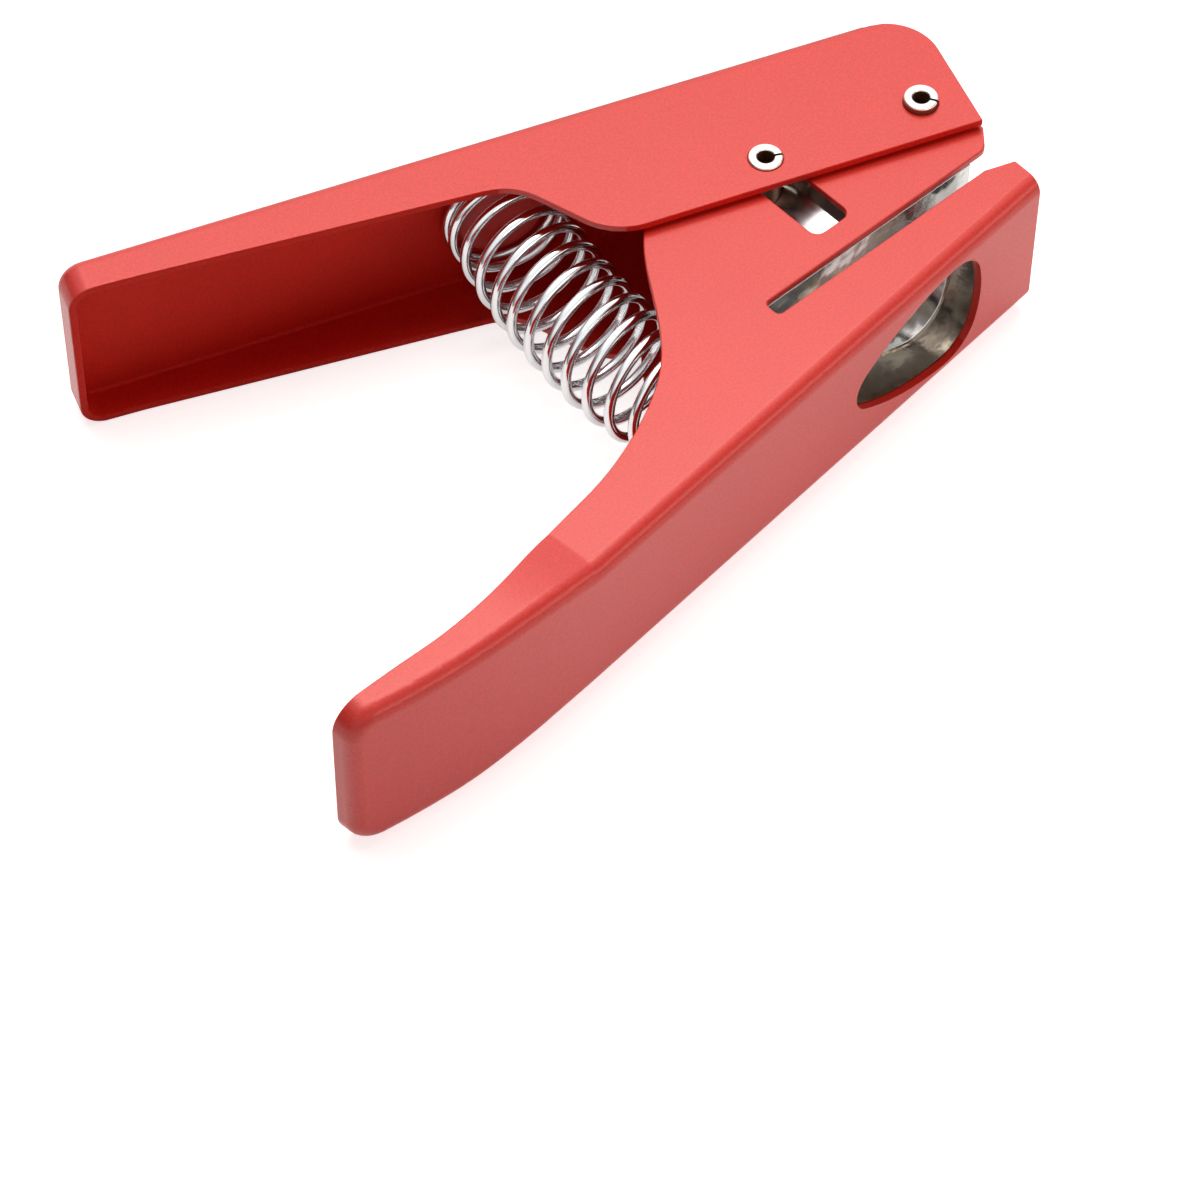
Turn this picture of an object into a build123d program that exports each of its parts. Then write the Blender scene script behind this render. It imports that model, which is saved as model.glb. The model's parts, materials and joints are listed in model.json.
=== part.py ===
from build123d import *
import os
from math import atan2, cos, degrees, hypot, pi, radians, sin, sqrt

# Hand punch that cuts plectrums out of plastic sheet: two pressed steel shells,
# hinged at the nose, with a ground die set between the cheeks of the lower one.
# The tool lies on its side, so the hinge axis is +Z and both shells rest on Z = 0.
# On the side plane x runs towards the nose and y from the base web up to the lever.

# Sheet metal
sheet = 1.5
body_bend_radius = 3.3
lever_bend_radius = 2.2
side_gap = 0.8
overrun = 5.0

# Body shell
body_front_width = 33.3
body_tail_reach = 176.4
jaw_reach = 1.65
jaw_foot_setback = 0.85
lower_lip_height = 7.1
cheek_height = 47.0
cheek_flat_back = 57.5
cheek_flat_front = 14.0
cheek_nose_radius = 8.0
cheek_nose_high_angle = 50.0
cheek_nose_low_angle = -24.0
handle_flat_reach = 123.0
handle_arc_radius = 180.0
tail_corner_radius = 6.5
tail_rim_height = 12.8
joggle_start = 122.0
joggle_run = 12.0
joggle_crease_radius = 5.0
joggle_sweep_radius = 105.0
far_joggle_start = 130.0
far_joggle_run = 22.0
far_joggle_radius = 80.0
# The cheek's upper edge, back to front: shares of the tail's reach and of the cheek's height
cheek_crest_shares = (
    (0.958, 0.251), (0.915, 0.234), (0.871, 0.2135), (0.825, 0.205), (0.778, 0.213),
    (0.697, 0.258), (0.6065, 0.285), (0.5236, 0.362), (0.4549, 0.488), (0.4256, 0.583),
    (0.3851, 0.762), (0.3487, 0.925),
)

# Slot for the plastic sheet, tilted against the base web with the whole die set
die_tilt = 5.8
slot_height = 3.75
slot_floor = 9.32
slot_reach = 10.8
slot_corner_radius = 1.0
lead_in = 5.0
upper_lip_radius = 2.5
upper_jaw_setback = 1.1
brow_reach = 0.3

# Hinge, lever and drive pin
pivot_x = -0.5
pivot_y = 28.3
pin_diameter = 6.6
pin_bore = 3.2
pin_slit = 0.5
pin_chamfer = 0.4
pivot_slit_angle = -67.0
drive_slit_angle = 3.0
pivot_proud = 1.5
drive_proud = 0.5
pin_recess = 0.1
running_fit = 0.05
drive_arm = 32.63
drive_angle = 16.44
closing_angle = 26.0
lever_angle = 25.6
lever_length = 172.2
lever_depth = 31.56
lever_pivot_setback = 8.9
lever_pivot_depth = 23.0
ear_radius = 10.5
ear_drop = 1.06
knee_low_setback = 74.6
knee_low_radius = 13.0
knee_high_setback = 87.4
knee_high_radius = 11.0
grip_front_depth = 13.36
grip_rear_depth = 8.26
grip_rear_setback = 160.0
grip_rear_radius = 60.0
lever_rim_depth = 7.56
lever_corner_radius = 5.0

# Windows for the drive pin in the body's cheeks
window_side_clearance = 0.38
window_top_clearance = 0.26
window_bottom_clearance = 1.04
window_corner_radius = 2.0

# Plectrum, punch and die
plectrum_length = 30.0
plectrum_width = 25.0
plectrum_shoulder = 7.8
plectrum_tip = 3.4
plectrum_butt_bow = 26.0
plectrum_side_bow = 50.0
plectrum_front = 17.0
punch_clearance = 0.1
punch_rest_gap = 0.6
cutter_thickness = 6.0
punch_top = 44.0
cross_slot_clearance = 0.15
die_side_clearance = 0.15
die_plate_thickness = 3.5
die_ledge = 6.2
die_block_front = 2.0
die_plate_front = 1.0
die_block_edge = 2.3
die_relief = 0.7

# Chute through the die block and the base web
chute_overhang = 1.6
chute_length = 35.9
chute_width = 26.5
chute_shoulder = 8.3
chute_tip = 6.0
chute_butt_bow = 28.0
chute_side_bow = 50.0
chute_mouth_inset = 0.35

# Punch guide
guide_nose = 4.8
guide_leg_setback = 0.5
guide_foot_top = 19.0
guide_front_wall = 7.0
guide_back_wall = 4.0
guide_shelf_top = 21.0
guide_top = 36.0
guide_window_floor = 18.0
guide_window_extra = 0.3

# Fasteners of the die set
screw_diameter = 3.0
screw_head_diameter = 5.5
screw_head_height = 3.0
screw_socket = 2.5
screw_socket_depth = 1.6
screw_play = 0.2
clamp_setback = 3.0
clamp_half_spacing = 10.0
clamp_length = 19.0
dowel_diameter = 2.5
dowel_half_spacing = 3.5
dowel_length = 17.0
dowel_sink = 1.0
die_screw_back = 8.0
die_screw_half_spacing = 9.5
die_screw_length = 6.5
cutter_screw_inset = 6.5
cutter_screw_half_spacing = 6.5
cutter_screw_bite = 4.5
cutter_screw_grip = 5.0

# Spacers on the pins
sleeve_diameter = 9.0
sleeve_end_clearance = 0.1
washer_diameter = 10.0
washer_thickness = 0.7

# Spring and its posts
wire_diameter = 2.0
spring_foot_gap = 10.0
spring_head_setback = 86.2
spring_foot_radius = 6.5
spring_belly_radius = 11.0
spring_head_radius = 10.7
spring_coil_lean = 7.3
spring_quarter_turns = 65
spring_closed_turns = 1
spring_ramp_turns = 1
spring_leaning_turns = 3
spring_end_pitch = 2.6
spring_seat_gap = 0.1
spring_start_angle = 200.0
spring_tangent_step = 0.0005
spring_gap_samples = 48
post_clearance = 0.5
post_height = 3.0
post_chamfer = 1.0

# Widths and the side plane, at mid thickness, that the box is centred on
tilt = radians(die_tilt)
rake = radians(lever_angle)
body_half = body_front_width / 2
body_inner_half = body_half - sheet
lever_inner_half = body_half + side_gap
lever_half = lever_inner_half + sheet
lever_width = 2 * lever_half
die_half = body_inner_half - die_side_clearance
ear_back = ear_radius - lever_pivot_setback
box_front = (pivot_x + ear_radius - ear_back * cos(rake)
             + (lever_pivot_depth - ear_drop - ear_radius) * sin(rake))
tail_run = lever_length - lever_bend_radius - lever_pivot_setback
box_top = (pivot_y + tail_run * sin(rake) + lever_bend_radius
           + (lever_pivot_depth - lever_bend_radius) * cos(rake))
datum_x = (body_tail_reach - box_front) / 2
datum_y = -box_top / 2
side = Plane(origin=(datum_x, datum_y, lever_half), x_dir=(1, 0, 0), z_dir=(0, 0, 1))
plan = Plane(origin=side.origin, x_dir=(1, 0, 0), z_dir=(0, -1, 0))

# Side plane of the die set: its x runs along the slot to the nose, its y up the punch's travel
die_side = Plane(origin=side.origin, x_dir=(cos(tilt), -sin(tilt), 0), z_dir=(0, 0, 1))

# Side plane of the lever: its x runs from the ears to the tail, its y down from the web
web_start_x = pivot_x + lever_pivot_setback * cos(rake) + lever_pivot_depth * sin(rake)
web_start_y = pivot_y - lever_pivot_setback * sin(rake) + lever_pivot_depth * cos(rake)
lever_side = Plane(
    origin=(datum_x + web_start_x, datum_y + web_start_y, lever_half),
    x_dir=(-cos(rake), sin(rake), 0), z_dir=(0, 0, 1),
)
lever_plan = Plane(origin=lever_side.origin, x_dir=lever_side.x_dir, z_dir=lever_side.y_dir)
ear_tip_x = web_start_x - lever_depth * sin(rake)
ear_tip_y = web_start_y - lever_depth * cos(rake)

# Pins, windows and stroke along the die's axes
pin_radius = pin_diameter / 2
swing_start = radians(drive_angle)
swing_end = radians(drive_angle - closing_angle)
pivot_along = pivot_x * cos(tilt) - pivot_y * sin(tilt)
pivot_up = pivot_x * sin(tilt) + pivot_y * cos(tilt)
drive_along = pivot_along - drive_arm * cos(swing_start)
drive_up = pivot_up + drive_arm * sin(swing_start)
drive_x = drive_along * cos(tilt) + drive_up * sin(tilt)
drive_y = drive_up * cos(tilt) - drive_along * sin(tilt)
stroke = drive_arm * (sin(swing_start) - sin(swing_end))
pin_wander = drive_arm * (1 - cos(swing_start))
window_along = drive_along - pin_wander / 2
window_width = pin_diameter + pin_wander + 2 * window_side_clearance
window_top = drive_up + pin_radius + window_top_clearance
window_bottom = drive_up - stroke - pin_radius - window_bottom_clearance

# Walls of the die set about the plectrum; behind the slot a ledge holds the clamp screws,
# and the spring stands behind the ledge
plectrum_back = plectrum_front + plectrum_length
chute_front = plectrum_front - chute_overhang
cutter_screw_back = plectrum_front + cutter_screw_inset
guide_column_front = plectrum_front - guide_front_wall
guide_column_back = plectrum_back + guide_back_wall
slot_depth = plectrum_back + slot_reach
die_back = slot_depth + die_ledge
clamp_back = die_back - clamp_setback
spring_foot_back = die_back + spring_foot_gap

# Levels of the die set above the die's datum
slot_ceiling = slot_floor + slot_height
die_top = slot_floor - die_plate_thickness
punch_bottom = slot_ceiling + punch_rest_gap
cutter_top = punch_bottom + cutter_thickness
lip_along = jaw_reach * cos(tilt) - lower_lip_height * sin(tilt)
lip_up = jaw_reach * sin(tilt) + lower_lip_height * cos(tilt)
upper_jaw_x = slot_ceiling * sin(tilt) - upper_jaw_setback * cos(tilt)
upper_jaw_y = slot_ceiling * cos(tilt) + upper_jaw_setback * sin(tilt)
plate_front_share = (lead_in - die_plate_front) / (lead_in + lip_along)
plate_front_top = slot_floor - (slot_floor - lip_up) * plate_front_share


def web_level(along):
    """Height of the base web's inner face above the die's datum, at a place along the slot."""
    return (sheet + along * sin(tilt)) / cos(tilt)


def die_level(height):
    """Plane square to the punch's travel, at a height above the die's datum."""
    return Plane(origin=side.origin + die_side.y_dir * height, x_dir=die_side.x_dir,
                 z_dir=-die_side.y_dir)


def side_level(height):
    """Plane parallel to the side plane, at a height above the rest face."""
    return side.offset(height - lever_half)


def centre_arc(centre, start, end, radius):
    """Shorter arc of a radius about a centre, from one point's bearing to another's."""
    first = degrees(atan2(start[1] - centre[1], start[0] - centre[0]))
    last = degrees(atan2(end[1] - centre[1], end[0] - centre[0]))
    turn = (last - first + 180) % 360 - 180
    return CenterArc(centre, radius, first, turn)


def away(centre, through, radius):
    """Point at a radius from a centre, on the ray from the centre through a point."""
    share = radius / hypot(through[0] - centre[0], through[1] - centre[1])
    return (centre[0] + (through[0] - centre[0]) * share,
            centre[1] + (through[1] - centre[1]) * share)


def plectrum_outline(front, length, width, shoulder, tip, butt_bow, side_bow, grow):
    """Plectrum outline of tangent arcs, its butt at the front, grown by a clearance."""
    rise = width / 2 - shoulder
    heart = (-front - butt_bow, 0)
    shoulder_x = heart[0] + sqrt((butt_bow - shoulder) ** 2 - rise ** 2)
    tip_centre = (-front - length + tip, 0)
    span = hypot(shoulder_x - tip_centre[0], rise)
    to_shoulder = side_bow - shoulder
    along = (to_shoulder ** 2 - (side_bow - tip) ** 2 + span ** 2) / (2 * span)
    across = sqrt(to_shoulder ** 2 - along ** 2)
    slope = ((tip_centre[0] - shoulder_x) / span, -rise / span)
    with BuildLine() as outline:
        for half in (1, -1):
            shoulder_centre = (shoulder_x, half * rise)
            bow_centre = (shoulder_x + along * slope[0] - across * slope[1],
                          half * (rise + along * slope[1] + across * slope[0]))
            on_butt = away(heart, shoulder_centre, butt_bow + grow)
            on_side = away(bow_centre, shoulder_centre, side_bow + grow)
            on_tip = away(bow_centre, tip_centre, side_bow + grow)
            centre_arc(heart, (-front + grow, 0), on_butt, butt_bow + grow)
            centre_arc(shoulder_centre, on_butt, on_side, shoulder + grow)
            centre_arc(bow_centre, on_side, on_tip, side_bow + grow)
            centre_arc(tip_centre, on_tip, (-front - length - grow, 0), tip + grow)
    return outline.line


def punched_outline(grow):
    """Outline of the cut plectrum, grown by a clearance."""
    return plectrum_outline(plectrum_front, plectrum_length, plectrum_width, plectrum_shoulder,
                            plectrum_tip, plectrum_butt_bow, plectrum_side_bow, grow)


def chute_outline(grow):
    """Outline of the opening in the base web, grown by a clearance."""
    return plectrum_outline(chute_front, chute_length, chute_width, chute_shoulder,
                            chute_tip, chute_butt_bow, chute_side_bow, grow)


def base_profile(inset):
    """Side outline of the base block: flat web and curved handle, open past the tail."""
    arc_radius = handle_arc_radius - inset
    front_x = cheek_nose_radius + overrun
    back_x = -body_tail_reach - overrun
    flat_end = (-handle_flat_reach, inset)
    arc_end = (back_x,
               handle_arc_radius - sqrt(arc_radius ** 2 - (back_x + handle_flat_reach) ** 2))
    with BuildLine() as outline:
        Line((front_x, inset), flat_end)
        centre_arc((-handle_flat_reach, handle_arc_radius), flat_end, arc_end, arc_radius)
        Polyline(arc_end, (back_x, box_top), (front_x, box_top), (front_x, inset))
    return outline.line


def base_plan(inset):
    """Plan outline of the base block: narrow at the lever, a wide handle, round tail.

    The near cheek steps out at a crease, the far cheek behind it in a longer sweep.
    """
    narrow = body_half - inset
    wide = lever_half - inset
    front = cheek_nose_radius + 2 * overrun
    tail = inset - body_tail_reach
    crease = -joggle_start
    shoulder = crease - joggle_run
    far_crease = -far_joggle_start
    far_shoulder = far_crease - far_joggle_run
    crease_round = joggle_crease_radius + inset
    sweep_round = joggle_sweep_radius - inset
    far_crease_round = far_joggle_radius + inset
    far_sweep_round = far_joggle_radius - inset
    corner_round = tail_corner_radius - inset
    with BuildLine() as outline:
        FilletPolyline((front, narrow), (crease, narrow), (shoulder, wide), (tail, wide),
                       (tail, -wide), (far_shoulder, -wide), (far_crease, -narrow),
                       (front, -narrow),
                       radius=(crease_round, sweep_round, corner_round,
                               corner_round, far_sweep_round, far_crease_round))
        Line((front, -narrow), (front, narrow))
    return outline.line


def cheek_profile():
    """Outline that the body's cheeks are trimmed to, open below and behind."""
    high = radians(cheek_nose_high_angle)
    low = radians(cheek_nose_low_angle)
    pivot = (pivot_x, pivot_y)
    shoulder = (pivot_x + cheek_nose_radius * cos(high), pivot_y + cheek_nose_radius * sin(high))
    chin = (pivot_x + cheek_nose_radius * cos(low), pivot_y + cheek_nose_radius * sin(low))
    crest = [(-share_x * body_tail_reach, share_y * cheek_height)
             for share_x, share_y in cheek_crest_shares]
    rim = (-body_tail_reach, tail_rim_height)
    rear_x = -body_tail_reach - overrun
    flat_back = (-cheek_flat_back, cheek_height)
    flat_front = (-cheek_flat_front, cheek_height)
    with BuildLine() as outline:
        Line((rear_x, tail_rim_height), rim)
        Spline([rim] + crest + [flat_back])
        Polyline(flat_back, flat_front, shoulder)
        centre_arc(pivot, shoulder, chin, cheek_nose_radius)
        Polyline(chin, (ear_tip_x + brow_reach, ear_tip_y), (upper_jaw_x, upper_jaw_y),
                 (jaw_reach, lower_lip_height), (jaw_reach - jaw_foot_setback, 0),
                 (jaw_reach - jaw_foot_setback, -overrun), (rear_x, -overrun),
                 (rear_x, tail_rim_height))
    return outline.line


def low_edges(part):
    """Edges between a block's underside and its walls, all round the tail."""
    low = part.edges().filter_by_position(Axis.Y, datum_y - overrun, datum_y + tail_rim_height)
    across = low.filter_by(Axis.Z).sort_by(Axis.X)
    return low.filter_by(Axis.Z, reverse=True) + [across[0]]


def upper_lip_edges(part):
    """The two corners where the cheeks' fronts meet the slot's ceiling."""
    def distance(edge):
        place = side.to_local_coords(edge.center())
        return hypot(place.X - upper_jaw_x, place.Y - upper_jaw_y)
    return part.edges().filter_by(Axis.Z).sort_by(distance)[:2]


def lever_block_plan(inset):
    """Plan outline of the lever block, its tail corners rounded."""
    half = lever_half - inset
    tail = lever_length - inset
    corner_round = lever_corner_radius - inset
    with BuildLine() as outline:
        FilletPolyline((-overrun, half), (tail, half), (tail, -half), (-overrun, -half),
                       radius=corner_round)
        Line((-overrun, -half), (-overrun, half))
    return outline.line


def lever_trim_profile():
    """Outline that the lever is trimmed to: round ears, deep cheeks, knee and slim grip."""
    end = (lever_length + overrun, lever_rim_depth)
    with BuildLine() as outline:
        Line((0, lever_depth), (0, ear_drop + ear_radius))
        centre_arc((ear_radius, ear_drop + ear_radius), (0, ear_drop + ear_radius),
                   (ear_radius, ear_drop), ear_radius)
        Polyline((ear_radius, ear_drop), (ear_radius, -overrun), (end[0], -overrun), end)
        FilletPolyline(end, (grip_rear_setback, grip_rear_depth),
                       (knee_high_setback, grip_front_depth), (knee_low_setback, lever_depth),
                       (0, lever_depth),
                       radius=(grip_rear_radius, knee_high_radius, knee_low_radius))
    return outline.line


def web_edges(part):
    """Edges of the lever's web, along both sides and round the tail."""
    web = part.faces().sort_by(Axis(lever_side.origin, lever_side.y_dir))[0]
    return web.edges().sort_by(Axis(lever_side.origin, lever_side.x_dir))[1:]


def drill(plane, spots, diameter, depth):
    """Cut round holes into the part being built, down from a plane."""
    with BuildSketch(plane) as holes:
        with Locations(spots):
            Circle(diameter / 2)
    extrude(holes.sketch, amount=depth, mode=Mode.SUBTRACT)


def countersink(plane, spots, mode):
    """Cones of countersunk heads, narrowing down from a plane at 45 degrees."""
    depth = (screw_head_diameter - screw_diameter) / 2
    with BuildSketch(plane) as rims:
        with Locations(spots):
            Circle(screw_head_diameter / 2)
    extrude(rims.sketch, amount=depth, taper=45, mode=mode)


def cap_screws(top, spots, length):
    """Cylinder-head screws with a hexagon socket, their heads' undersides on a plane."""
    with BuildPart() as screws:
        with BuildSketch(top):
            with Locations(spots):
                Circle(screw_head_diameter / 2)
        extrude(amount=-screw_head_height)
        with BuildSketch(top.offset(-screw_head_height)):
            with Locations(spots):
                RegularPolygon(screw_socket / 2, 6, major_radius=False)
        extrude(amount=screw_socket_depth, mode=Mode.SUBTRACT)
        with BuildSketch(top):
            with Locations(spots):
                Circle(screw_diameter / 2)
        extrude(amount=length)
    return screws.part


def slotted_pin(x, y, low, high, slit_angle):
    """Rolled spring pin: a tube with a slit, parallel to the hinge axis."""
    with BuildPart() as pin:
        with BuildSketch(side_level(low)):
            with Locations((x, y)):
                Circle(pin_diameter / 2)
        extrude(amount=high - low)
        chamfer(pin.edges(), pin_chamfer)
        with BuildSketch(side_level(low)):
            with Locations((x, y)):
                Circle(pin_bore / 2)
            with Locations(Location((x, y, 0), (0, 0, slit_angle))):
                Rectangle(pin_diameter, pin_slit, align=(Align.MIN, Align.CENTER))
        extrude(amount=high - low, mode=Mode.SUBTRACT)
    return pin.part


def ring(x, y, low, high, outer, inner):
    """Flat or long ring about a line parallel to the hinge axis."""
    with BuildPart() as collar:
        with BuildSketch(side_level(low)):
            with Locations((x, y)):
                Circle(outer / 2)
                Circle(inner / 2, mode=Mode.SUBTRACT)
        extrude(amount=high - low)
    return collar.part


# Body shell: base web, two cheeks and the joggled handle
with BuildPart() as body_cavity:
    with BuildSketch(side):
        make_face(base_profile(sheet).edges())
    extrude(amount=lever_width, both=True)
    with BuildSketch(plan):
        make_face(base_plan(sheet).edges())
    extrude(amount=box_top + overrun, both=True, mode=Mode.INTERSECT)
    fillet(low_edges(body_cavity.part), body_bend_radius - sheet)

with BuildPart() as body_frame:
    with BuildSketch(side):
        make_face(base_profile(0).edges())
    extrude(amount=lever_width, both=True)
    with BuildSketch(plan):
        make_face(base_plan(0).edges())
    extrude(amount=box_top + overrun, both=True, mode=Mode.INTERSECT)
    fillet(low_edges(body_frame.part), body_bend_radius)
    add(body_cavity.part, mode=Mode.SUBTRACT)
    with BuildSketch(side):
        make_face(cheek_profile().edges())
    extrude(amount=lever_width, both=True, mode=Mode.INTERSECT)
    # Slot for the plastic sheet, open at the nose, its upper lips rounded
    with BuildSketch(die_side):
        with BuildLine():
            FilletPolyline((-lead_in, slot_floor), (-slot_depth, slot_floor),
                           (-slot_depth, slot_ceiling), (overrun, slot_ceiling),
                           radius=slot_corner_radius)
            Polyline((overrun, slot_ceiling), (lip_along + overrun, lip_up),
                     (lip_along, lip_up), (-lead_in, slot_floor))
        make_face()
    extrude(amount=lever_width, both=True, mode=Mode.SUBTRACT)
    fillet(upper_lip_edges(body_frame.part), upper_lip_radius)
    # Windows that the drive pin travels in
    with BuildSketch(die_side):
        with Locations((window_along, (window_top + window_bottom) / 2)):
            RectangleRounded(window_width, window_top - window_bottom, window_corner_radius)
    extrude(amount=lever_width, both=True, mode=Mode.SUBTRACT)
    # Pivot holes
    with BuildSketch(side):
        with Locations((pivot_x, pivot_y)):
            Circle(pin_radius + running_fit)
    extrude(amount=lever_width, both=True, mode=Mode.SUBTRACT)
    # Opening under the die, where the cut plectrum drops out
    with BuildSketch(plan.offset(overrun)):
        make_face(chute_outline(0).edges())
    extrude(amount=-2 * overrun, mode=Mode.SUBTRACT)
body_frame.part.label = "body_frame"

# Lever shell: web with open front, two cheeks with round ears, slim grip
with BuildPart() as lever_cavity:
    with BuildSketch(lever_plan.offset(sheet)):
        make_face(lever_block_plan(sheet).edges())
    extrude(amount=lever_depth + overrun)
    fillet(web_edges(lever_cavity.part), lever_bend_radius - sheet)

with BuildPart() as lever:
    with BuildSketch(lever_plan):
        make_face(lever_block_plan(0).edges())
    extrude(amount=lever_depth + overrun)
    fillet(web_edges(lever.part), lever_bend_radius)
    add(lever_cavity.part, mode=Mode.SUBTRACT)
    with BuildSketch(lever_side):
        make_face(lever_trim_profile().edges())
    extrude(amount=lever_width, both=True, mode=Mode.INTERSECT)
    with BuildSketch(lever_side):
        with Locations((ear_radius, sheet)):
            Rectangle(ear_radius + overrun, 2 * sheet + overrun, align=(Align.MAX, Align.CENTER))
    extrude(amount=lever_half - lever_bend_radius, both=True, mode=Mode.SUBTRACT)
    with BuildSketch(side):
        with Locations((pivot_x, pivot_y), (drive_x, drive_y)):
            Circle(pin_radius)
    extrude(amount=lever_width, both=True, mode=Mode.SUBTRACT)
lever.part.label = "lever"

# Screws and dowels of the die set, on planes square to the punch's travel
clamp_spots = [(-clamp_back, half * clamp_half_spacing) for half in (1, -1)]
dowel_spots = [(-clamp_back, half * dowel_half_spacing) for half in (1, -1)]
die_screw_spots = [(-die_screw_back, half * die_screw_half_spacing) for half in (1, -1)]
cutter_spots = [(-cutter_screw_back, half * cutter_screw_half_spacing) for half in (1, -1)]
dowel_top = guide_shelf_top - dowel_sink
clamp_bottom = guide_shelf_top - clamp_length
dowel_bottom = dowel_top - dowel_length

# Die block: wedge on the base web, its chute flared towards the opening
with BuildPart() as die_block:
    with BuildSketch(die_side):
        with BuildLine():
            Polyline((-die_back, web_level(-die_back)),
                     (-die_block_front, web_level(-die_block_front)),
                     (-die_block_front, die_top), (-die_back, die_top), close=True)
        make_face()
    extrude(amount=die_half, both=True)
    bottom_face = die_block.faces().sort_by(Axis.Y)[0]
    fillet(bottom_face.edges().filter_by(Axis.Z, reverse=True), die_block_edge)
    with BuildSketch(die_level(die_top)):
        make_face(punched_outline(punch_clearance + die_relief).edges())
    with BuildSketch(plan.offset(-sheet)):
        make_face(chute_outline(-chute_mouth_inset).edges())
    loft(mode=Mode.SUBTRACT)
    drill(die_level(die_top), clamp_spots, screw_diameter, die_top - clamp_bottom)
    drill(die_level(die_top), dowel_spots, dowel_diameter, die_top - dowel_bottom)
    drill(die_level(die_top), die_screw_spots, screw_diameter,
          die_screw_length - die_plate_thickness)
die_block.part.label = "die_block"

# Die plate: hardened plate with the cutting edge, bevelled at the nose like the lower lip
with BuildPart() as die_plate:
    with BuildSketch(die_side):
        with BuildLine():
            Polyline((-die_back, die_top), (-die_plate_front, die_top),
                     (-die_plate_front, plate_front_top), (-lead_in, slot_floor),
                     (-die_back, slot_floor), close=True)
        make_face()
    extrude(amount=die_half, both=True)
    with BuildSketch(die_level(slot_floor)):
        make_face(punched_outline(punch_clearance).edges())
    extrude(amount=die_plate_thickness, mode=Mode.SUBTRACT)
    drill(die_level(slot_floor), clamp_spots, screw_diameter, die_plate_thickness)
    drill(die_level(slot_floor), dowel_spots, dowel_diameter, die_plate_thickness)
    countersink(die_level(slot_floor), die_screw_spots, Mode.SUBTRACT)
    drill(die_level(slot_floor), die_screw_spots, screw_diameter, die_plate_thickness)
die_plate.part.label = "die_plate"

# Punch guide: stands on the die plate behind the slot and carries the punch above it
with BuildPart() as punch_guide:
    with BuildSketch(die_side):
        leg_front = -slot_depth - guide_leg_setback
        with BuildLine():
            Polyline((-die_back, slot_floor), (leg_front, slot_floor), (leg_front, slot_ceiling),
                     (-guide_nose, slot_ceiling), (-guide_nose, guide_foot_top),
                     (-guide_column_front, guide_foot_top), (-guide_column_front, guide_top),
                     (-guide_column_back, guide_top), (-guide_column_back, guide_shelf_top),
                     (-die_back, guide_shelf_top), close=True)
        make_face()
    extrude(amount=die_half, both=True)
    with BuildSketch(die_level(guide_top)):
        make_face(punched_outline(punch_clearance).edges())
    extrude(amount=guide_top, mode=Mode.SUBTRACT)
    with BuildSketch(die_side):
        with Locations((window_along, guide_window_floor)):
            Rectangle(window_width + 2 * guide_window_extra, guide_top,
                      align=(Align.CENTER, Align.MIN))
    extrude(amount=die_half, both=True, mode=Mode.SUBTRACT)
    drill(die_level(guide_shelf_top), clamp_spots, screw_diameter, guide_shelf_top)
    drill(die_level(guide_shelf_top), dowel_spots, dowel_diameter, guide_shelf_top)
punch_guide.part.label = "punch_guide"

# Punch: hardened cutter under a carrier with a cross slot for the drive pin
with BuildPart() as punch_cutter:
    with BuildSketch(die_level(cutter_top)):
        make_face(punched_outline(0).edges())
    extrude(amount=cutter_thickness)
    drill(die_level(cutter_top), cutter_spots, screw_diameter, cutter_screw_bite)
punch_cutter.part.label = "punch_cutter"

with BuildPart() as punch_carrier:
    with BuildSketch(die_level(punch_top)):
        make_face(punched_outline(0).edges())
    extrude(amount=punch_top - cutter_top)
    with BuildSketch(die_side):
        with Locations((window_along, drive_up)):
            SlotOverall(pin_diameter + pin_wander + 2 * cross_slot_clearance,
                        pin_diameter + 2 * cross_slot_clearance)
    extrude(amount=plectrum_width, both=True, mode=Mode.SUBTRACT)
    drill(die_level(punch_top), cutter_spots, screw_head_diameter + 2 * screw_play,
          punch_top - cutter_top - cutter_screw_grip)
    drill(die_level(punch_top), cutter_spots, screw_diameter, punch_top - cutter_top)
punch_carrier.part.label = "punch_carrier"

# Screws and dowels
clamp_screws = cap_screws(die_level(guide_shelf_top), clamp_spots, clamp_length)
clamp_screws.label = "clamp_screws"
cutter_screws = cap_screws(die_level(cutter_top + cutter_screw_grip), cutter_spots,
                           cutter_screw_grip + cutter_screw_bite)
cutter_screws.label = "cutter_screws"

with BuildPart() as locating_dowels:
    with BuildSketch(die_level(dowel_top)):
        with Locations(dowel_spots):
            Circle(dowel_diameter / 2)
    extrude(amount=dowel_length)
locating_dowels.part.label = "locating_dowels"

with BuildPart() as die_screws:
    countersink(die_level(slot_floor), die_screw_spots, Mode.ADD)
    with BuildSketch(die_level(slot_floor)):
        with Locations(die_screw_spots):
            Circle(screw_diameter / 2)
    extrude(amount=die_screw_length)
    with BuildSketch(die_level(slot_floor)):
        with Locations(die_screw_spots):
            RegularPolygon(screw_socket / 2, 6, major_radius=False)
    extrude(amount=screw_socket_depth, mode=Mode.SUBTRACT)
die_screws.part.label = "die_screws"

# Pins, sleeve and washers
pivot_pin = slotted_pin(pivot_x, pivot_y, pin_recess, lever_width + pivot_proud,
                        pivot_slit_angle)
pivot_pin.label = "pivot_pin"
drive_pin = slotted_pin(drive_x, drive_y, pin_recess, lever_width + drive_proud,
                        drive_slit_angle)
drive_pin.label = "drive_pin"

pin_hole = pin_diameter + 2 * running_fit
sleeve_half = body_inner_half - sleeve_end_clearance
pivot_sleeve = ring(pivot_x, pivot_y, lever_half - sleeve_half, lever_half + sleeve_half,
                    sleeve_diameter, pin_hole)
pivot_sleeve.label = "pivot_sleeve"

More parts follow.
